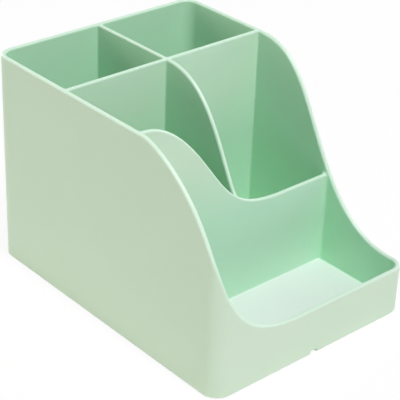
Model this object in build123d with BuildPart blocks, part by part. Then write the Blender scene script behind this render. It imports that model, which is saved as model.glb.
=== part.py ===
from build123d import *

import os

# Pen holder: one injection moulding with four pen cells behind a low open tray, on four
# non-slip pads. Sizes in millimetres. The origin is at the middle of the footprint, on the
# surface that the pads stand on. X runs to the right, Y to the back and Z up.

# Overall sizes of the moulding
width = 111.6
depth = 150.0
body_height = 100.0
corner_radius = 7.8

# Wall, divider and floor
wall = 2.2
divider = 2.0
floor_thickness = 1.6
skirt_depth = 0.8

# Places of the dividers' middle planes
cross_y = 25.1
front_y = -24.0
long_x = 0.0

# Heights above the walls' bottom edge, and the step down from the right wall's rim to the
# front divider where they meet
lip_height = 22.6
divider_step = 4.2

# Falls of the rims. Each is given by how far its two ends ease and by a middle pull, which
# is measured back from the foot and down from the rim.

# Right wall's fall, with how far its foot stops behind the front
right_top_ease = 34.6
right_pull_back = 53.8
right_pull_drop = 34.8
right_foot_ease = 34.3
right_foot_setback = 10.3

# Fall that wraps the front left corner, drawn along the corner's diagonal, with its foot
# measured along the lip from the left face
corner_top_ease = 6.0
corner_pull_back = 18.7
corner_pull_drop = 22.8
corner_foot_ease = 44.3
corner_foot_along = 47.8

# Front divider's fall, and the level length that is left beside the right wall
front_top_ease = 22.5
front_pull_back = 35.3
front_pull_drop = 38.2
front_foot_ease = 38.0
front_level = 26.6

# Long divider's fall, which lands on the front divider's rim
long_top_ease = 27.6
long_pull_back = 12.6
long_pull_drop = 26.6
long_foot_ease = 1.6

# Roundings
cell_corner = 0.8
rim_radius = min(0.9, 0.45 * min(wall, divider))
blend_radius = 1.5
floor_fillet = 0.5
base_fillet = 0.4

# Notch in the bottom edge of the front wall
notch_x = 0.0
notch_width = 4.0
notch_height = 1.65
notch_corner = 0.8

# Non-slip pads, the seats that they are stuck in, and the gate mark between them
pad_diameter = 10.0
pad_edge = 0.3
pad_clearance = 0.3
pad_inset = 12.0
seat_depth = 0.4
foot_proud = 0.4
gate_diameter = 7.0
gate_depth = 0.4

# Levels
skirt_z = foot_proud
ceiling_z = skirt_z + skirt_depth
floor_z = ceiling_z + floor_thickness
rim_z = skirt_z + body_height
lip_z = skirt_z + lip_height

# Inner faces of the outer walls, and half a divider
inner_x = width / 2 - wall
inner_y = depth / 2 - wall
inner_corner = corner_radius - wall
half = divider / 2

# Spare length of cuts past what they cut, and the hair within which places are the same
over = 5.0
hair = 0.05

# Pads' distances from the middle of the holder
pad_x = inner_x - pad_inset
pad_y = inner_y - pad_inset

# Views that the falls are drawn in: from the right with the front ahead, from the front,
# and along the front left corner's diagonal
from_right = Plane(origin=(0, 0, 0), x_dir=(0, -1, 0), z_dir=(-1, 0, 0))
from_front = Plane.XZ
across_corner = Plane(origin=(0, 0, 0), x_dir=(1, -1, 0), z_dir=(-1, -1, 0))
diagonal = 2**0.5


def rim_height(points, place):
    """Height of a fall, given by its control points, at one place along it."""
    fall = Edge.make_bezier(*points)
    upright = Edge.make_line((place, 0), (place, 2 * rim_z))
    return fall.find_intersection_points(upright)[0].Y


# The right wall falls from behind the cross divider's front corner to the lip
right_start = -(cross_y - half - cell_corner)
right_foot = depth / 2 - right_foot_setback
right_fall = [
    (right_start, rim_z),
    (right_start + right_top_ease, rim_z),
    (right_foot - right_pull_back, rim_z - right_pull_drop),
    (right_foot - right_foot_ease, lip_z),
    (right_foot, lip_z),
]

# The left wall stays level past the front divider, then falls round the corner to the lip
corner_start = (-inner_x + cell_corner - (front_y - half)) / diagonal
corner_foot_x = corner_foot_along - width / 2
corner_foot = (corner_foot_x + depth / 2 - wall / 2) / diagonal
corner_fall = [
    (corner_start, rim_z),
    (corner_start + corner_top_ease, rim_z),
    (corner_foot - corner_pull_back, rim_z - corner_pull_drop),
    (corner_foot - corner_foot_ease, lip_z),
    (corner_foot, lip_z),
]

# The front divider falls from the left wall to just under the right wall's rim
divider_z = rim_height(right_fall, -front_y) - divider_step
front_start = -inner_x + cell_corner
front_foot = inner_x - front_level
front_fall = [
    (front_start, rim_z),
    (front_start + front_top_ease, rim_z),
    (front_foot - front_pull_back, rim_z - front_pull_drop),
    (front_foot - front_foot_ease, divider_z),
    (front_foot, divider_z),
]

# The long divider's rim is a sheet that starts level at the cross divider and eases onto
# the front divider's rim, whose slope it takes up in its last two rows
meet_y = front_y + half
across = [x for x, z in front_fall]
landing = [z for x, z in front_fall]
long_rows = [
    (-right_start, [rim_z] * len(across)),
    (-right_start - long_top_ease, [rim_z] * len(across)),
    (meet_y + long_pull_back, [rim_z - long_pull_drop] * len(across)),
    (meet_y + long_foot_ease, landing),
    (meet_y, landing),
]
long_rim = Face.make_bezier_surface(
    [[(x, y, z) for x, z in zip(across, heights)] for y, heights in long_rows]
)


def area_above(view, points, reach):
    """Area above a fall, drawn on a view and carried on level past its foot."""
    start = points[0][0]
    foot, foot_z = points[-1]
    with BuildSketch(view) as area:
        with BuildLine():
            Bezier(*points)
            Polyline(
                (foot, foot_z),
                (foot + reach, foot_z),
                (foot + reach, rim_z + over),
                (start - over, rim_z + over),
                (start - over, rim_z),
                (start, rim_z),
            )
        make_face()
    return area.sketch


def opening_plan(x0, x1, y0, y1, radii):
    """Plan of one opening, with its corner radii counted from the rear right one."""
    corners = [(x1, y1), (x0, y1), (x0, y0), (x1, y0)]
    with BuildSketch() as plan:
        with Locations(((x0 + x1) / 2, (y0 + y1) / 2)):
            Rectangle(x1 - x0, y1 - y0)
        for corner, radius in zip(corners, radii):
            if radius:
                fillet(plan.vertices().sort_by_distance((*corner, 0))[0], radius)
    return plan.sketch


def upright_box(x0, x1, y0, y1, mode):
    """Box over a part of the plan, taller than the moulding."""
    with Locations(((x0 + x1) / 2, (y0 + y1) / 2, rim_z / 2)):
        Box(x1 - x0, y1 - y0, 2 * rim_z, mode=mode)


def inside(edge, x0, x1, y0, y1):
    """Whether an edge's plan lies inside a rectangle, give or take a hair."""
    box = edge.bounding_box()
    in_x = x0 - hair < box.min.X and box.max.X < x1 + hair
    return in_x and y0 - hair < box.min.Y and box.max.Y < y1 + hair


def rim_edges(part):
    """Upper edges of the moulding's upright faces."""
    upright = part.faces().filter_by(lambda face: abs(face.normal_at().Z) < 0.01)
    edges = upright.edges().filter_by(Axis.Z, reverse=True)
    return edges.filter_by(lambda edge: edge.center().Z > floor_z + over)


def longest_line(edges, rectangle):
    """The longest straight edge of those inside a rectangle."""
    own = edges.filter_by(lambda edge: inside(edge, *rectangle))
    return own.filter_by(GeomType.LINE).sort_by(SortBy.LENGTH)[-1]


# The openings, each given by its corners in plan. The tray and the cell behind it leave
# the front divider's right end square, for the blend that is rounded there at the end.
left_x, right_x = long_x - half, long_x + half
openings = {
    "rear_left": (-inner_x, left_x, cross_y + half, inner_y),
    "rear_right": (right_x, inner_x, cross_y + half, inner_y),
    "middle_left": (-inner_x, left_x, front_y + half, cross_y - half),
    "middle_right": (right_x, inner_x, front_y + half, cross_y - half),
    "tray": (-inner_x, inner_x, -inner_y, front_y - half),
}
corner_radii = {
    "rear_left": (cell_corner, inner_corner, cell_corner, cell_corner),
    "rear_right": (inner_corner, cell_corner, cell_corner, cell_corner),
    "middle_left": (cell_corner, cell_corner, cell_corner, cell_corner),
    "middle_right": (cell_corner, cell_corner, cell_corner, 0),
    "tray": (0, cell_corner, inner_corner, inner_corner),
}

# What the right wall's fall takes away: the wall itself and the right part of the lip
lip_middle = (corner_foot_x + inner_x - inner_corner) / 2
with BuildPart() as right_cut:
    extrude(area_above(from_right, right_fall, depth), amount=width, both=True)
    upright_box(lip_middle, width, -depth, cross_y, Mode.INTERSECT)
    upright_box(-width, inner_x, front_y - half, cross_y + over, Mode.SUBTRACT)

# What the corner's fall takes away: the left wall, the corner and the rest of the lip
with BuildPart() as corner_cut:
    extrude(area_above(across_corner, corner_fall, depth), amount=depth + width, both=True)
    upright_box(-width, lip_middle, -depth, cross_y, Mode.INTERSECT)
    upright_box(-inner_x, width, front_y - half, cross_y + over, Mode.SUBTRACT)

# What the front divider's fall takes away
with BuildPart() as front_cut:
    extrude(area_above(from_front, front_fall, width), amount=depth, both=True)
    upright_box(-inner_x, inner_x, front_y - half, meet_y, Mode.INTERSECT)

# What is above the long divider's rim, as wide as the divider with its corner fillets
with BuildPart() as long_cut:
    extrude(long_rim, amount=body_height, dir=(0, 0, 1))
    zone = (long_x - half - cell_corner, long_x + half + cell_corner, meet_y, cross_y)
    upright_box(*zone, Mode.INTERSECT)

with BuildPart() as moulded_body:
    # Block with its openings above the floor and a shallow recess under it
    with BuildSketch(Plane.XY.offset(skirt_z)):
        RectangleRounded(width, depth, corner_radius)
    extrude(amount=body_height)
    for name, (x0, x1, y0, y1) in openings.items():
        with BuildSketch(Plane.XY.offset(floor_z)):
            add(opening_plan(x0, x1, y0, y1, corner_radii[name]))
        extrude(amount=body_height, mode=Mode.SUBTRACT)
    with BuildSketch(Plane.XY.offset(skirt_z)):
        RectangleRounded(2 * inner_x, 2 * inner_y, inner_corner)
    extrude(amount=skirt_depth, mode=Mode.SUBTRACT)

    # Falling rims
    for cut in (right_cut, corner_cut, front_cut, long_cut):
        add(cut.part, mode=Mode.SUBTRACT)

    # Rounded rims. Each rounding follows its rim all the way round from one straight edge,
    # and the middle right cell's goes on along the right wall and round the tray.
    rims = rim_edges(moulded_body.part)
    for name in ("rear_left", "rear_right", "middle_left", "middle_right"):
        fillet(longest_line(rims, openings[name]), rim_radius)
    fillet(longest_line(rims, (-width, width, depth / 2, depth / 2)), rim_radius)

    # Blend round the front divider's end on the right wall
    end = (inner_x, inner_x, front_y - half, front_y + half)
    round_end = moulded_body.edges().filter_by(lambda edge: inside(edge, *end))
    fillet(round_end.filter_by(lambda edge: edge.center().Z > floor_z + over), blend_radius)

    # Rounded edges of the floor in each opening, and of the bottom edge outside
    level = moulded_body.edges().filter_by(lambda edge: edge.bounding_box().size.Z < hair)
    fillet(level.filter_by(lambda edge: abs(edge.center().Z - floor_z) < hair), floor_fillet)
    recess = (-inner_x, inner_x, -inner_y, inner_y)
    bottom = moulded_body.edges().group_by(Axis.Z)[0]
    fillet(bottom.filter_by(lambda edge: not inside(edge, *recess)), base_fillet)

    # Notch through the front wall's bottom edge
    with BuildSketch(from_front.offset(inner_y)):
        with Locations((notch_x, skirt_z)):
            notch = Rectangle(notch_width, 2 * notch_height)
        fillet(notch.vertices().group_by(Axis.Y)[-1], notch_corner)
    extrude(amount=2 * wall, mode=Mode.SUBTRACT)

    # Pad seats and the gate mark, sunk into the underside of the floor
    with BuildSketch(Plane.XY.offset(ceiling_z)):
        with GridLocations(2 * pad_x, 2 * pad_y, 2, 2):
            Circle(pad_diameter / 2 + pad_clearance)
    extrude(amount=seat_depth, mode=Mode.SUBTRACT)
    with BuildSketch(Plane.XY.offset(ceiling_z)):
        Circle(gate_diameter / 2)
    extrude(amount=gate_depth, mode=Mode.SUBTRACT)

moulded_body.part.label = "moulded_body"

os.makedirs("parts", exist_ok=True)
export_step(moulded_body.part, "parts/moulded_body.step")

# Non-slip pads, from the surface they stand on up to the bottom of their seats
places = {
    "foot_front_left": (-pad_x, -pad_y),
    "foot_front_right": (pad_x, -pad_y),
    "foot_rear_left": (-pad_x, pad_y),
    "foot_rear_right": (pad_x, pad_y),
}
for name, place in places.items():
    with BuildPart() as foot:
        with BuildSketch():
            with Locations(place):
                Circle(pad_diameter / 2)
        extrude(amount=ceiling_z + seat_depth)
        fillet(foot.edges().group_by(Axis.Z)[0], pad_edge)
    foot.part.label = name
    export_step(foot.part, f"parts/{name}.step")
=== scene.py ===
"""Pen holder: materials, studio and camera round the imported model.

The body is one injection moulding in satin mint plastic, on four rubber pads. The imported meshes
stay as they are and get procedural materials here. Lengths are in metres, in the frame of the CAD:
X to the right, Y to the back, Z up, origin in the middle of the footprint.
"""

import math

import bpy
from mathutils import Matrix, Vector

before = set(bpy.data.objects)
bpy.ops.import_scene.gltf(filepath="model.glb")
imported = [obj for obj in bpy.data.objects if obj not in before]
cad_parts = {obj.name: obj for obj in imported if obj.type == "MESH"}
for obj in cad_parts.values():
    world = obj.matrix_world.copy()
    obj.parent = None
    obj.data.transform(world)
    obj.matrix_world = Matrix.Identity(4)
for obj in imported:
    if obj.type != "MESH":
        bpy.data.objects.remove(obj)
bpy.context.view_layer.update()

MM = 0.001
scene = bpy.context.scene
scene.view_settings.view_transform = "Standard"

# Pale walls pass light on many times in the narrow cells, which gives them their deeper green.
LIGHT_BOUNCES = 24
scene.cycles.max_bounces = LIGHT_BOUNCES
scene.cycles.diffuse_bounces = LIGHT_BOUNCES


# Camera: fitted to the edges of the holder in the photograph.
CAMERA_AZIMUTH = math.radians(-42.155)
CAMERA_ELEVATION = math.radians(29.247)
CAMERA_ROLL = math.radians(2.258)
CAMERA_DISTANCE = 615.51 * MM
CAMERA_TARGET = Vector((-2.647, -2.960, 43.202)) * MM
CAMERA_CLIP = (0.05, 20.0)
SENSOR_WIDTH = 36.0
LENS = 126.197


def make_camera():
    """The camera of the photograph, turned a little about its own axis."""
    back = Vector((
        math.sin(CAMERA_AZIMUTH) * math.cos(CAMERA_ELEVATION),
        -math.cos(CAMERA_AZIMUTH) * math.cos(CAMERA_ELEVATION),
        math.sin(CAMERA_ELEVATION),
    ))
    level_right = Vector((0, 0, 1)).cross(back).normalized()
    level_up = back.cross(level_right)
    cosine, sine = math.cos(CAMERA_ROLL), math.sin(CAMERA_ROLL)
    right = level_right * cosine + level_up * sine
    up = level_up * cosine - level_right * sine
    data = bpy.data.cameras.new("photo_camera")
    data.sensor_width = SENSOR_WIDTH
    data.lens = LENS
    data.clip_start, data.clip_end = CAMERA_CLIP
    camera = bpy.data.objects.new("photo_camera", data)
    scene.collection.objects.link(camera)
    turn = Matrix((right, up, back)).transposed().to_4x4()
    camera.matrix_world = Matrix.Translation(CAMERA_TARGET + back * CAMERA_DISTANCE) @ turn
    scene.camera = camera


class Nodes:
    """A material's or the world's node tree, with short ways to add and join nodes."""

    def __init__(self, owner):
        owner.use_nodes = True
        self.tree = owner.node_tree
        self.tree.nodes.clear()

    def add(self, kind, **settings):
        node = self.tree.nodes.new(kind)
        for name, value in settings.items():
            setattr(node, name, value)
        return node

    def join(self, source, target):
        self.tree.links.new(source, target)

    def show(self, result, kind="ShaderNodeOutputMaterial"):
        """Makes the result what the material, or the world, looks like."""
        self.join(result, self.add(kind).inputs["Surface"])

    def noise(self, place, size, detail, roughness=0.5):
        """A noise whose blobs are about size across."""
        node = self.add("ShaderNodeTexNoise")
        node.inputs["Scale"].default_value = 1.0 / size
        node.inputs["Detail"].default_value = detail
        node.inputs["Roughness"].default_value = roughness
        self.join(place, node.inputs["Vector"])
        return node.outputs["Fac"]

    def ranged(self, value, span, to_span):
        """The value carried over from span to to_span, and held at its ends."""
        node = self.add("ShaderNodeMapRange", clamp=True)
        names = ("From Min", "From Max", "To Min", "To Max")
        for name, number in zip(names, (*span, *to_span)):
            node.inputs[name].default_value = number
        self.join(value, node.inputs["Value"])
        return node.outputs["Result"]

    def rise(self, value, span, most=1.0):
        """0 before the span, rising to most at its end."""
        return self.ranged(value, span, (0.0, most))

    def fall(self, value, span, least=0.0):
        """1 before the span, falling to least at its end."""
        return self.ranged(value, span, (1.0, least))

    def math(self, operation, first, second):
        node = self.add("ShaderNodeMath", operation=operation)
        for socket, value in zip(node.inputs, (first, second)):
            if isinstance(value, (int, float)):
                socket.default_value = value
            else:
                self.join(value, socket)
        return node.outputs["Value"]

    def product(self, first, *others):
        for other in others:
            first = self.math("MULTIPLY", first, other)
        return first

    def vector_math(self, operation, *values, result="Vector"):
        """A sum on vectors, each a triple or a socket."""
        node = self.add("ShaderNodeVectorMath", operation=operation)
        for socket, value in zip(node.inputs, values):
            if isinstance(value, tuple):
                socket.default_value = value
            else:
                self.join(value, socket)
        return node.outputs[result]

    def along(self, vector, axis):
        """The vector's X, Y or Z."""
        node = self.add("ShaderNodeSeparateXYZ")
        self.join(vector, node.inputs["Vector"])
        return node.outputs[axis]

    def mixed(self, share, first, second, blend="MIX"):
        """Two colours, each a triple or a socket, mixed by share."""
        node = self.add("ShaderNodeMix", data_type="RGBA", blend_type=blend)
        self.join(share, node.inputs["Factor"])
        for name, value in (("A", first), ("B", second)):
            socket = [s for s in node.inputs if s.name == name and s.type == "RGBA"][0]
            if isinstance(value, tuple):
                socket.default_value = (*value, 1.0)
            else:
                self.join(value, socket)
        return [s for s in node.outputs if s.type == "RGBA"][0]

    def bump(self, height, depth, strength, under=None):
        """A bump of this depth, laid on the normal under it."""
        node = self.add("ShaderNodeBump")
        node.inputs["Strength"].default_value = strength
        node.inputs["Distance"].default_value = depth
        self.join(height, node.inputs["Height"])
        if under is not None:
            self.join(under, node.inputs["Normal"])
        return node.outputs["Normal"]

    def seen(self):
        """1 where the camera looks, straight or in a reflection or through glass, else 0."""
        path = self.add("ShaderNodeLightPath").outputs
        mirrored = self.math("MAXIMUM", path["Is Glossy Ray"], path["Is Transmission Ray"])
        return self.math("MAXIMUM", path["Is Camera Ray"], mirrored)

    def edge(self, width, turned):
        """0 on flat faces, 1 at edges, where the normals within width agree less than turned."""
        rounded = self.add("ShaderNodeBevel", samples=EDGE_SAMPLES)
        rounded.inputs["Radius"].default_value = width
        plain = self.add("ShaderNodeNewGeometry").outputs["Normal"]
        agreement = self.vector_math(
            "DOT_PRODUCT", rounded.outputs["Normal"], plain, result="Value"
        )
        return self.rise(agreement, (1.0, turned))


# The holder's plan and levels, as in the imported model
HALF_WIDTH = 55.8 * MM
HALF_DEPTH = 75.0 * MM
CORNER_RADIUS = 7.8 * MM
FLOOR_LEVEL = 2.8 * MM
TRAY_BACK = -24.0 * MM

# The middle of the rounded corners in plan, with a height that nothing on the holder reaches
CORNER_MIDDLE = (HALF_WIDTH - CORNER_RADIUS, HALF_DEPTH - CORNER_RADIUS, 1.0)

# Where the zones of colour fade in or out, from the first place to the second
OUTSIDE_REACH = (CORNER_RADIUS - 1.6 * MM, CORNER_RADIUS - 0.6 * MM)
FLOOR_TOP = (FLOOR_LEVEL + 0.05 * MM, FLOOR_LEVEL + 0.4 * MM)
FLOOR_INSIDE = (FLOOR_LEVEL - 0.8 * MM, FLOOR_LEVEL - 0.2 * MM)
TRAY_FLOOR_BACK = (TRAY_BACK - 0.5 * MM, TRAY_BACK + 0.5 * MM)
LIT_FRONT_HEIGHTS = (45.0 * MM, 80.0 * MM)
LIT_FRONT_DEPTHS = (TRAY_BACK, HALF_DEPTH)
GREEN_LIGHT_BACK = (TRAY_BACK, TRAY_BACK + 1.0 * MM)
RIM_HEIGHTS = (8.0 * MM, 10.0 * MM)
LIP_HEIGHTS = (24.0 * MM, 45.0 * MM)

# The same for the way that a face looks along one axis
FACING_FRONT = (-0.9, -0.4)
FACING_LEFT = (-0.8, -0.3)
FACING_UP = (0.03, 0.30)

# The pigment as moulded, and what it is multiplied by where it lies thinner
MINT = (0.510, 0.784, 0.588)
MINT_THIN = (0.960, 0.980, 0.965)
THIN_CLOUDS = (0.35, 0.65)
THIN_SHARE = 0.5

# Painted warm light: paler and warmer outside and on the dividers' upper front faces, where warm
# light falls
MINT_PAINTED_WARM_LIGHT = (0.625, 0.782, 0.612)
LIT_FRONT_SHARE = 0.85

# Painted light: a purer, brighter green where light comes through the right wall along the tray
MINT_PAINTED_GREEN_LIGHT = (0.494, 0.834, 0.584)

# Painted light: the floors paler and greyer where light from above falls, less in the cells than
# in the tray
MINT_PAINTED_FLOOR_LIGHT = (0.671, 0.726, 0.697)
CELL_FLOOR_LIGHT = 0.45

# Rims paler, partly from wear and partly as a painted highlight on their tops; a whiter painted
# highlight along the outer edge of the high ones; less pale on the low lip
MINT_WEAR_AND_HIGHLIGHT = (0.575, 0.768, 0.625)
MINT_PAINTED_RIM_HIGHLIGHT = (0.610, 0.795, 0.655)
MINT_LIP = (0.580, 0.738, 0.622)
WEAR_AND_HIGHLIGHT_SHARE = 0.85
EDGE_WIDTH = 0.9 * MM
EDGE_TURNED = 0.93
EDGE_SAMPLES = 6

# Pale flecks on the peaks of the moulded grain
MINT_FLECK = (0.770, 0.865, 0.820)
FLECK_PEAKS = (0.60, 0.78)
FLECK_SHARE = 0.22

# The moulded surface: fine grain, patches of uneven gloss, and wide faint waves
GRAIN_SIZE = 0.32 * MM
GRAIN_DEPTH = 0.02 * MM
GRAIN_STRENGTH = 0.30
PATCH_SIZE = 4.5 * MM
PATCHES = (0.3, 0.7)
WAVE_SIZE = 38.0 * MM
WAVE_DEPTH = 0.25 * MM
WAVE_STRENGTH = 0.35
PLASTIC_ROUGHNESS = (0.40, 0.49)
RUBBED_SMOOTHER = 0.09
PLASTIC_IOR = 1.5


def outside_share(nodes, place):
    """1 on the outer faces of the walls, 0 on everything inside them."""
    folded = nodes.vector_math("ABSOLUTE", place)
    past = nodes.vector_math("SUBTRACT", folded, CORNER_MIDDLE)
    clear = nodes.vector_math("MAXIMUM", past, (0.0, 0.0, 0.0))
    return nodes.rise(nodes.vector_math("LENGTH", clear, result="Value"), OUTSIDE_REACH)


def floor_light_share(nodes, place):
    """Painted light from above: 1 on the floor of the tray, less on the floors of the cells, 0
    above and underneath.
    """
    height = nodes.along(place, "Z")
    low = nodes.fall(height, FLOOR_TOP)
    top = nodes.rise(height, FLOOR_INSIDE)
    used = nodes.fall(nodes.along(place, "Y"), TRAY_FLOOR_BACK, CELL_FLOOR_LIGHT)
    return nodes.product(low, top, used)


def lit_front_share(nodes, place, facing):
    """Painted warm light, rising on the dividers' front faces towards the top and towards the
    front, 0 elsewhere.
    """
    high = nodes.rise(nodes.along(place, "Z"), LIT_FRONT_HEIGHTS, LIT_FRONT_SHARE)
    ahead = nodes.fall(nodes.along(place, "Y"), LIT_FRONT_DEPTHS)
    front = nodes.fall(nodes.along(facing, "Y"), FACING_FRONT)
    return nodes.product(high, ahead, front)


def green_light_share(nodes, place, facing):
    """Painted light: 1 along the tray on faces that look to the left, 0 elsewhere."""
    ahead = nodes.fall(nodes.along(place, "Y"), GREEN_LIGHT_BACK)
    side = nodes.fall(nodes.along(facing, "X"), FACING_LEFT)
    return nodes.product(ahead, side)


def rim_share(nodes, place, facing):
    """1 on the rounded rims of walls and dividers, 0 on upright faces and on the floors."""
    above = nodes.rise(nodes.along(place, "Z"), RIM_HEIGHTS)
    upward = nodes.rise(nodes.along(facing, "Z"), FACING_UP)
    return nodes.product(above, upward)


def mint_plastic():
    """Satin injection-moulded plastic: fine grain, faint uneven gloss and rubbed rims, with
    painted light: warm outside, pale on the floors, greener on the tray's right wall, and
    highlights on the rims.
    """
    material = bpy.data.materials.new("mint_plastic_satin")
    nodes = Nodes(material)
    coordinates = nodes.add("ShaderNodeTexCoord").outputs
    place, facing = coordinates["Object"], coordinates["Normal"]
    grain = nodes.noise(place, GRAIN_SIZE, 2.0, 0.6)
    patches = nodes.noise(place, PATCH_SIZE, 3.0)
    waves = nodes.noise(place, WAVE_SIZE, 2.0)
    # Wear on the edges and rim tops, which also carries a painted highlight
    wear_and_highlight = nodes.math(
        "MAXIMUM", nodes.edge(EDGE_WIDTH, EDGE_TURNED), rim_share(nodes, place, facing)
    )

    # The painted warm light on the outside covers what the other zones give its faces.
    outside = outside_share(nodes, place)
    warm_lit = nodes.math("MAXIMUM", outside, lit_front_share(nodes, place, facing))
    # Painted light on the floors
    floor_lit = nodes.mixed(floor_light_share(nodes, place), MINT, MINT_PAINTED_FLOOR_LIGHT)
    # Painted green light on the tray's right wall
    green_lit = nodes.mixed(green_light_share(nodes, place, facing), floor_lit, MINT_PAINTED_GREEN_LIGHT)
    pigment = nodes.mixed(warm_lit, green_lit, MINT_PAINTED_WARM_LIGHT)

    thin = nodes.rise(waves, THIN_CLOUDS, THIN_SHARE)
    uneven = nodes.mixed(thin, pigment, MINT_THIN, "MULTIPLY")
    flecked = nodes.mixed(nodes.rise(grain, FLECK_PEAKS, FLECK_SHARE), uneven, MINT_FLECK)
    # Painted highlight: whiter along the outer edge of the high rims
    high_rim = nodes.mixed(outside, MINT_WEAR_AND_HIGHLIGHT, MINT_PAINTED_RIM_HIGHLIGHT)
    rim = nodes.mixed(nodes.rise(nodes.along(place, "Z"), LIP_HEIGHTS), MINT_LIP, high_rim)
    colour = nodes.mixed(nodes.product(wear_and_highlight, WEAR_AND_HIGHLIGHT_SHARE), flecked, rim)

    roughness = nodes.ranged(patches, PATCHES, PLASTIC_ROUGHNESS)
    smoother = nodes.product(wear_and_highlight, RUBBED_SMOOTHER)
    wavy = nodes.bump(waves, WAVE_DEPTH, WAVE_STRENGTH)
    grained = nodes.bump(grain, GRAIN_DEPTH, GRAIN_STRENGTH, wavy)

    surface = nodes.add("ShaderNodeBsdfPrincipled")
    surface.inputs["IOR"].default_value = PLASTIC_IOR
    nodes.join(colour, surface.inputs["Base Color"])
    nodes.join(nodes.math("SUBTRACT", roughness, smoother), surface.inputs["Roughness"])
    nodes.join(grained, surface.inputs["Normal"])
    nodes.show(surface.outputs["BSDF"])
    return material


# The pads: pebbled rubber, with paler dust in it
RUBBER = (0.50, 0.51, 0.51)
RUBBER_DUSTY = (0.60, 0.61, 0.60)
PEBBLE_SIZE = 0.55 * MM
PEBBLE_DEPTH = 0.05 * MM
PEBBLE_STRENGTH = 0.5
DUSTY_PEBBLES = (0.45, 0.75)
DUSTY_SHARE = 0.7
RUBBER_PATCH_SIZE = 3.0 * MM
RUBBER_ROUGHNESS = (0.72, 0.88)


def pad_rubber():
    """Soft grey non-slip rubber with a pebbled and dusty face."""
    material = bpy.data.materials.new("pad_rubber_matte")
    nodes = Nodes(material)
    place = nodes.add("ShaderNodeTexCoord").outputs["Object"]
    pebbles = nodes.noise(place, PEBBLE_SIZE, 3.0, 0.6)
    patches = nodes.noise(place, RUBBER_PATCH_SIZE, 2.0)
    dusty = nodes.mixed(nodes.rise(pebbles, DUSTY_PEBBLES, DUSTY_SHARE), RUBBER, RUBBER_DUSTY)
    roughness = nodes.ranged(patches, PATCHES, RUBBER_ROUGHNESS)
    pebbled = nodes.bump(pebbles, PEBBLE_DEPTH, PEBBLE_STRENGTH)

    surface = nodes.add("ShaderNodeBsdfPrincipled")
    nodes.join(dusty, surface.inputs["Base Color"])
    nodes.join(roughness, surface.inputs["Roughness"])
    nodes.join(pebbled, surface.inputs["Normal"])
    nodes.show(surface.outputs["BSDF"])
    return material


def dress_nodes():
    """Rubber on the pads, plastic on the body."""
    plastic, rubber = mint_plastic(), pad_rubber()
    for name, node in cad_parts.items():
        material = rubber if name.startswith("foot_") else plastic
        for material_slot in node.material_slots:
            material_slot.material = material


# Studio
WHITE = (1.0, 1.0, 1.0, 1.0)
FLOOR_HALF = 4.0
FLOOR_COLOUR = (0.86, 0.86, 0.86, 1.0)
FLOOR_ROUGHNESS = 0.9
FLOOR_SPECULAR = 0.1
FLOOR_WHITENING = 0.92
WORLD_LEVEL = 0.2


def make_floor():
    """A plain pale table top under the pads, almost white to the camera, with a faint shadow."""
    mesh = bpy.data.meshes.new("floor")
    corners = [(-1, -1), (1, -1), (1, 1), (-1, 1)]
    places = [(x * FLOOR_HALF, y * FLOOR_HALF, 0.0) for x, y in corners]
    mesh.from_pydata(places, [], [(0, 1, 2, 3)])
    floor = bpy.data.objects.new("floor", mesh)
    scene.collection.objects.link(floor)

    material = bpy.data.materials.new("floor_white")
    nodes = Nodes(material)
    surface = nodes.add("ShaderNodeBsdfPrincipled")
    surface.inputs["Base Color"].default_value = FLOOR_COLOUR
    surface.inputs["Roughness"].default_value = FLOOR_ROUGHNESS
    surface.inputs["Specular IOR Level"].default_value = FLOOR_SPECULAR
    white = nodes.add("ShaderNodeEmission")
    white.inputs["Color"].default_value = WHITE
    white.inputs["Strength"].default_value = 1.0
    whitened = nodes.add("ShaderNodeMixShader")
    nodes.join(nodes.product(nodes.seen(), FLOOR_WHITENING), whitened.inputs["Fac"])
    nodes.join(surface.outputs["BSDF"], whitened.inputs[1])
    nodes.join(white.outputs["Emission"], whitened.inputs[2])
    nodes.show(whitened.outputs["Shader"])
    mesh.materials.append(material)


def make_world():
    """Even white surroundings, which the camera and the reflections see as plain white."""
    world = bpy.data.worlds.new("studio")
    scene.world = world
    nodes = Nodes(world)
    background = nodes.add("ShaderNodeBackground")
    background.inputs["Color"].default_value = WHITE
    level = nodes.ranged(nodes.seen(), (0.0, 1.0), (WORLD_LEVEL, 1.0))
    nodes.join(level, background.inputs["Strength"])
    nodes.show(background.outputs["Background"], "ShaderNodeOutputWorld")


LAMPS = {
    # name: place, width and height in metres, power in watts, colour
    "key": ((-0.04, -0.592, 1.309), (0.12, 0.6), 16.0, (1.0, 0.98, 1.0)),
    "front": ((0.0, -1.072, 0.940), (0.6, 0.6), 1.0, (1.0, 0.9, 1.0)),
    "left": ((-1.395, 0.0, 0.162), (0.6, 0.6), 3.32, (1.0, 0.98, 0.785)),
    "back_left": ((-0.956, 0.956, 0.402), (0.6, 0.6), 2.4, (1.0, 0.985, 0.80)),
    "back": ((0.0, 1.352, 0.402), (0.6, 0.6), 5.4, (1.0, 1.0, 1.0)),
    "right": ((1.352, 0.0, 0.402), (0.6, 0.6), 3.4, (1.0, 1.0, 1.0)),
}
LAMP_TARGET = Vector((0.0, 0.0, 0.04))


def make_lamps():
    """Soft boxes, which no camera sees."""
    for name, (place, (width, height), power, colour) in LAMPS.items():
        data = bpy.data.lights.new(name, "AREA")
        data.shape = "RECTANGLE"
        data.size = width
        data.size_y = height
        data.energy = power
        data.color = colour
        lamp = bpy.data.objects.new(name, data)
        lamp.location = place
        lamp.rotation_mode = "QUATERNION"
        lamp.rotation_quaternion = (LAMP_TARGET - Vector(place)).to_track_quat("-Z", "Y")
        lamp.visible_camera = False
        scene.collection.objects.link(lamp)


make_camera()
dress_nodes()
make_floor()
make_world()
make_lamps()
